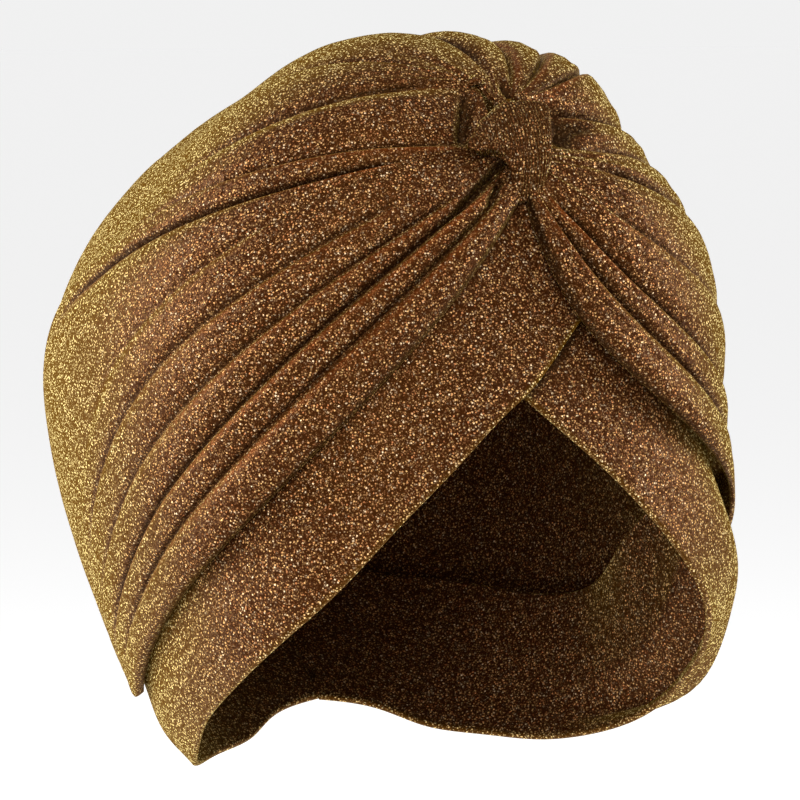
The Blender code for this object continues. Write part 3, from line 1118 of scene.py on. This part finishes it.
OVER_CUTS = (
    StrapCut(180.4, 11.0, 5.5, 180.4, 44.0, 5.5),
    StrapCut(160.0, 8.0, 6.0, 160.0, 43.5, 6.0),
    StrapCut(140.0, 3.0, 6.0, 140.0, 42.5, 6.0),
    StrapCut(117.0, 1.0, 5.0, 120.0, 41.5, 6.0, 1.0),
    StrapCut(95.0, 1.5, 4.0, 102.0, 41.0, 6.0, 1.5),
    StrapCut(77.0, 8.5, 4.0, 88.0, 43.0, 6.0, 1.5),
    StrapCut(65.0, 20.0, 4.5, 76.0, 52.0, 6.0, 1.5),
    StrapCut(52.0, 33.5, 5.0, 63.0, 67.0, 6.0, 1.0),
    StrapCut(40.0, 49.5, 6.0, 51.0, 85.0, 6.0),
    StrapCut(31.0, 64.0, 6.0, 40.0, 106.0, 6.0),
    StrapCut(22.0, 81.5, 6.0, 30.0, 128.0, 6.0),
    StrapCut(13.0, 97.0, 6.0, 19.0, 148.0, 6.0),
    StrapCut(5.0, 110.0, 6.0, 10.0, 163.0, 6.0),
    StrapCut(-1.0, 118.0, 6.0, 4.0, 172.0, 6.0),
    StrapCut(-7.0, 128.5, 6.0, -3.0, 174.0, 6.0),
    StrapCut(-14.0, 140.0, 6.0, -11.0, 172.0, 6.0),
    StrapCut(-22.0, 150.0, 6.0, -19.0, 169.0, 6.0),
)

UNDER_CUTS = (
    StrapCut(180.4, 11.0, 6.5, 180.4, 44.0, 6.5),
    StrapCut(160.0, 8.0, 6.0, 160.0, 43.5, 6.0),
    StrapCut(140.0, 3.0, 6.0, 140.0, 42.5, 6.0),
    StrapCut(117.0, 1.0, 5.0, 120.0, 41.5, 6.0),
    StrapCut(95.0, 1.5, 3.5, 102.0, 46.0, 6.0, 1.5, 0.44),
    StrapCut(77.0, 8.5, -1.0, 88.0, 60.0, 11.0, 6.2, 0.37),
    StrapCut(65.0, 20.0, -2.5, 76.0, 74.0, 10.0, 12.0, 0.48),
    StrapCut(52.0, 33.5, 0.5, 63.0, 82.0, 6.5, 9.5, 0.86),
    StrapCut(40.0, 49.5, 4.0, 51.0, 89.0, 6.5, 6.5, 1.00),
    StrapCut(31.0, 64.0, 5.5, 40.0, 106.0, 6.4, 2.0, 1.00),
    StrapCut(22.0, 81.5, 7.6, 30.0, 124.0, 7.6),
    StrapCut(13.0, 97.0, 8.6, 18.0, 139.0, 8.6),
    StrapCut(4.0, 110.0, 8.6, 8.0, 148.0, 8.6),
    StrapCut(-5.0, 123.0, 8.6, -2.0, 152.0, 8.6),
    StrapCut(-15.0, 136.0, 8.6, -13.0, 155.0, 8.6),
)


class StrapSide(Enum):
    """Side of the head that a strap comes from."""

    WEARERS_RIGHT = -1.0
    WEARERS_LEFT = 1.0


class Border(Enum):
    """One of a strap's two long edges."""

    LOW = "low"
    HIGH = "high"


@dataclass
class CrossedStrap:
    """Band from the nape over one ear, crossing the other band above the forehead."""

    name: str
    side: StrapSide
    cuts: tuple[StrapCut, ...]
    form: HeadForm
    knot: Knot
    knit: MetallicKnit
    covered_by: CrossedStrap | None = None
    wall_mm: float = 2.0
    steps_along: int = 230
    steps_across: int = 44
    gather_mm: float = 0.9
    gather_reach_deg: float = 19.0
    gather_every_deg: float = 11.0
    gather_lean: float = 0.04
    gather_middle: float = 0.64
    # Width and share of the painted highlight along the lower hem, higher where the straps cross.
    hem_mm: float = 1.3
    hem_share: float = 0.35
    crossed_hem_share: float = 0.9
    crossed_from_mm: float = 112.0
    crossed_by_mm: float = 120.0
    shadow_mm: float = 2.6

    def column(self, field: str) -> Array:
        """Smooth curve through one column of the strap's table."""
        return column(self.cuts, field, self.steps_along)

    def edge(self, border: Border, stand_mm: Array | float = 0.0) -> Array:
        """Directions of one of the strap's long edges.

        Args:
            border: Which edge.
            stand_mm: How far the edge stands off the form.

        Returns:
            Unit vectors from the form's centre.
        """
        turn = self.side.value * self.column(border.value + "_deg")
        height = self.column(border.value + "_z_mm")
        return self.form.direction_at(FOREHEAD_AZIMUTH_DEG + turn, height, stand_mm)

    def shadow(self, directions: Array) -> Array:
        """How near the cloth lies to the edge of the strap that crosses over it.

        Args:
            directions: Unit vectors to the strap's points.

        Returns:
            1 at that edge, falling to 0 away from it.
        """
        apart = np.full(directions.shape[:2], np.inf)
        if self.covered_by:
            flat = self.form.points(directions)
            for point in self.form.points(self.covered_by.edge(Border.LOW)):
                apart = np.minimum(apart, np.linalg.norm(flat - point, axis=-1))
        return bump(apart, self.shadow_mm)

    def gathers(self, directions: Array) -> Array:
        """Small folds that fan out below the knot.

        Args:
            directions: Unit vectors to the strap's points.

        Returns:
            Height of the folds in millimetres.
        """
        away, turn = self.knot.polar(directions)
        wave = np.abs(np.sin(np.pi * turn / self.gather_every_deg + self.gather_lean * away))
        return self.gather_mm * (wave - self.gather_middle) * bump(away, self.gather_reach_deg)

    def build(self) -> bpy.types.Object:
        """Make the strap's cloth and dress it.

        Returns:
            The piece.
        """
        low_sink, high_sink = self.column("low_sink_mm"), self.column("high_sink_mm")
        low, high = self.edge(Border.LOW, -low_sink), self.edge(Border.HIGH, -high_sink)
        share = np.linspace(0.0, 1.0, self.steps_across)
        directions = unit(low[:, None] + share[:, None] * (high - low)[:, None])
        sink = low_sink[:, None] + share * (high_sink - low_sink)[:, None]
        bulge, bulge_share = self.column("bulge_mm"), self.column("bulge_share")
        swell = np.sin(np.pi * np.clip(share / bulge_share[:, None], 0.0, 1.0)) ** 2
        stand = bulge[:, None] * swell + self.gathers(directions) - sink
        outer = self.form.points(directions, stand)
        from_edge = np.linalg.norm(outer - outer[:, :1], axis=-1)
        # Painted highlight of the golden sheen along the lower hem, stronger where the straps cross,
        # and painted shadow beside the crossing strap's edge.
        crossed = smooth(self.crossed_from_mm, self.crossed_by_mm, outer[:, :1, 2])
        lit = self.hem_share + (self.crossed_hem_share - self.hem_share) * crossed
        marks = {Mark.TUCK: self.shadow(directions), Mark.HEM: lit * bump(from_edge, self.hem_mm)}
        material = self.knit.material(self.name + "_knit")
        return ClothSheet(self.wall_mm).piece(self.name, outer, marks, material)


@dataclass(frozen=True)
class TabCut:
    """One cut across the knot tab: along the knot, its two sides and how far it stands out."""

    along_mm: float
    right_mm: float
    left_mm: float
    stand_mm: float


@dataclass
class KnotTab:
    """Short tab of knit that wraps the gathers above the crossing."""

    form: HeadForm
    knot: Knot
    knit: MetallicKnit
    cuts: tuple[TabCut, ...] = (
        TabCut(4.5, 3.0, -11.0, 1.5),
        TabCut(3.0, 4.2, -12.0, 4.6),
        TabCut(0.5, 7.0, -11.6, 5.6),
        TabCut(-2.5, 11.0, -10.8, 5.8),
        TabCut(-6.0, 13.8, -10.0, 5.8),
        TabCut(-9.0, 16.2, -9.4, 5.4),
        TabCut(-11.0, 12.0, -9.0, 5.0),
        TabCut(-13.0, 7.0, -8.6, 4.6),
        TabCut(-15.5, 4.5, -8.0, 3.0),
        TabCut(-19.0, 3.5, -7.0, 0.0),
        TabCut(-23.0, 3.0, -6.0, -3.5),
    )
    wall_mm: float = 2.0
    edge_drop_mm: float = 2.4
    edge_power: float = 6.0
    steps_along: int = 110
    steps_across: int = 170
    rib_every_mm: float = 0.95
    rib_mm: float = 0.2
    rib_shade: float = 0.8

    def build(self) -> bpy.types.Object:
        """Make the tab's cloth and dress it.

        Returns:
            The piece.
        """
        knot, right, up = self.knot.frame()
        fields = ("along_mm", "right_mm", "left_mm", "stand_mm")
        curves = (column(self.cuts, field, self.steps_along)[:, None] for field in fields)
        along, to_right, to_left, stand = curves
        share = np.linspace(0.0, 1.0, self.steps_across)[None, :]
        across = to_right * (1.0 - share) + to_left * share
        drop = self.edge_drop_mm * np.abs(2.0 * share - 1.0) ** self.edge_power
        rib = np.cos(2.0 * np.pi * across / self.rib_every_mm)
        offset = across[..., None] * right + along[..., None] * up
        directions = unit(knot + offset / self.knot.reach_mm)
        outer = self.form.points(directions, stand - drop + self.rib_mm * rib)
        # Painted shade in the grooves between the ribs.
        marks = {Mark.TUCK: self.rib_shade * (1.0 - rib) / 2.0}
        material = self.knit.material("tab_knit")
        return ClothSheet(self.wall_mm).piece("gather_tab", outer, marks, material)


# The studio


@dataclass(frozen=True)
class SoftLight:
    """A soft lamp that faces the hat, placed by angles round it."""

    name: str
    azimuth_deg: float
    elevation_deg: float
    distance_m: float
    size_m: float
    watts: float


@dataclass
class Studio:
    """Pale floor and backdrop, soft lamps, and the camera at the photograph's angle."""

    aim_m: Row = (0.0, 0.0, 0.108)
    azimuth_deg: float = -24.0
    elevation_deg: float = 5.0
    distance_m: float = 1.3
    lens_mm: float = 199.0
    sensor_mm: float = 36.0
    shift: Row = (0.0125, -0.0025)
    floor_z_m: float = -0.16
    floor_half_m: float = 40.0
    floor_colour: Row = rgb(0.86, 0.86, 0.86)
    floor_roughness: float = 0.9
    floor_glow: float = 0.45
    sky_strength: float = 0.7
    seen_sky_strength: float = 1.095
    lamps: tuple[SoftLight, ...] = (
        SoftLight("front_lamp", -30.0, 28.0, 1.2, 0.9, 12.0),
        SoftLight("left_lamp", -118.0, 12.0, 0.9, 0.5, 10.5),
        SoftLight("right_lamp", 72.0, 14.0, 0.9, 0.5, 7.0),
        SoftLight("top_lamp", -24.0, 75.0, 1.1, 0.6, 3.0),
    )

    def aim(
        self, holder: bpy.types.Object, azimuth_deg: float, elevation_deg: float, distance_m: float
    ) -> None:
        """Place a lamp or camera round the hat, looking at its middle.

        Args:
            holder: The lamp or camera.
            azimuth_deg: Its azimuth, 0 in front and 90 on the wearer's left.
            elevation_deg: Its elevation.
            distance_m: Its distance from the hat's middle.
        """
        azimuth, elevation = math.radians(azimuth_deg), math.radians(elevation_deg)
        level = math.cos(elevation)
        back = Vector((math.sin(azimuth) * level, -math.cos(azimuth) * level, math.sin(elevation)))
        holder.location = Vector(self.aim_m) + back * distance_m
        holder.rotation_mode = "QUATERNION"
        holder.rotation_quaternion = (-back).to_track_quat("-Z", "Y")

    def camera(self) -> None:
        """Place the camera and make it the scene's own."""
        data = bpy.data.cameras.new("camera")
        data.lens = self.lens_mm
        data.sensor_width = self.sensor_mm
        data.shift_x, data.shift_y = self.shift
        camera = added("camera", data)
        self.aim(camera, self.azimuth_deg, self.elevation_deg, self.distance_m)
        bpy.context.scene.camera = camera

    def light(self) -> None:
        """Place the lamps and the even light from all round."""
        for lamp in self.lamps:
            data = bpy.data.lights.new(lamp.name, "AREA")
            data.shape = "DISK"
            data.size = lamp.size_m
            data.energy = lamp.watts
            holder = added(lamp.name, data)
            self.aim(holder, lamp.azimuth_deg, lamp.elevation_deg, lamp.distance_m)
        graph = Graph(bpy.data.worlds.new("studio"))
        seen = graph.value(graph.node("ShaderNodeLightPath", {}), "Is Camera Ray")
        strength = self.sky_strength + seen * (self.seen_sky_strength - self.sky_strength)
        sky = graph.node("ShaderNodeBackground", {"Strength": strength})
        graph.node("ShaderNodeOutputWorld", {"Surface": sky.outputs[0]})
        bpy.context.scene.world = graph.owner
        bpy.context.scene.view_settings.view_transform = "Standard"

    def floor(self) -> None:
        """Lay the pale floor, which is no part of the hat."""
        half, low = self.floor_half_m, self.floor_z_m
        mesh = bpy.data.meshes.new("studio_floor")
        corners = [(-half, -half, low), (half, -half, low), (half, half, low), (-half, half, low)]
        mesh.from_pydata(corners, [], [(0, 1, 2, 3)])
        graph = Graph(bpy.data.materials.new("floor_paint"))
        sockets = {
            "Base Color": self.floor_colour,
            "Roughness": self.floor_roughness,
            "Emission Color": self.floor_colour,
            "Emission Strength": self.floor_glow,
        }
        paint = graph.node("ShaderNodeBsdfPrincipled", sockets)
        graph.node("ShaderNodeOutputMaterial", {"Surface": paint.outputs[0]})
        mesh.materials.append(graph.owner)
        floor = added("studio_floor", mesh)

    def build(self) -> None:
        """Set the whole studio up."""
        self.camera()
        self.light()
        self.floor()


# Putting it together


def seat(piece: bpy.types.Object, node: str) -> None:
    """Make a piece ride on the hat and stand for its solid.

    Args:
        piece: The dressed piece.
        node: The solid that it replaces.
    """
    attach(piece, BODY)
    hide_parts(node)
    log.info("%s stands for %s, %d faces", piece.name, node, len(piece.data.polygons))


def main() -> None:
    """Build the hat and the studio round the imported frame."""
    logging.basicConfig(level=logging.INFO, format="%(message)s")
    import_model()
    form, knot, knit = HeadForm(), Knot(), MetallicKnit()
    right, left = StrapSide.WEARERS_RIGHT, StrapSide.WEARERS_LEFT
    over = CrossedStrap("over_strap", right, OVER_CUTS, form, knot, knit)
    under = CrossedStrap("under_strap", left, UNDER_CUTS, form, knot, knit, covered_by=over)
    seat(PleatedCrown(form, knot, knit).build(), "crown")
    seat(over.build(), "band_over")
    seat(under.build(), "band_under")
    seat(KnotTab(form, knot, knit).build(), "knot_tab")
    Studio().build()


if __name__ == "__main__":
    main()
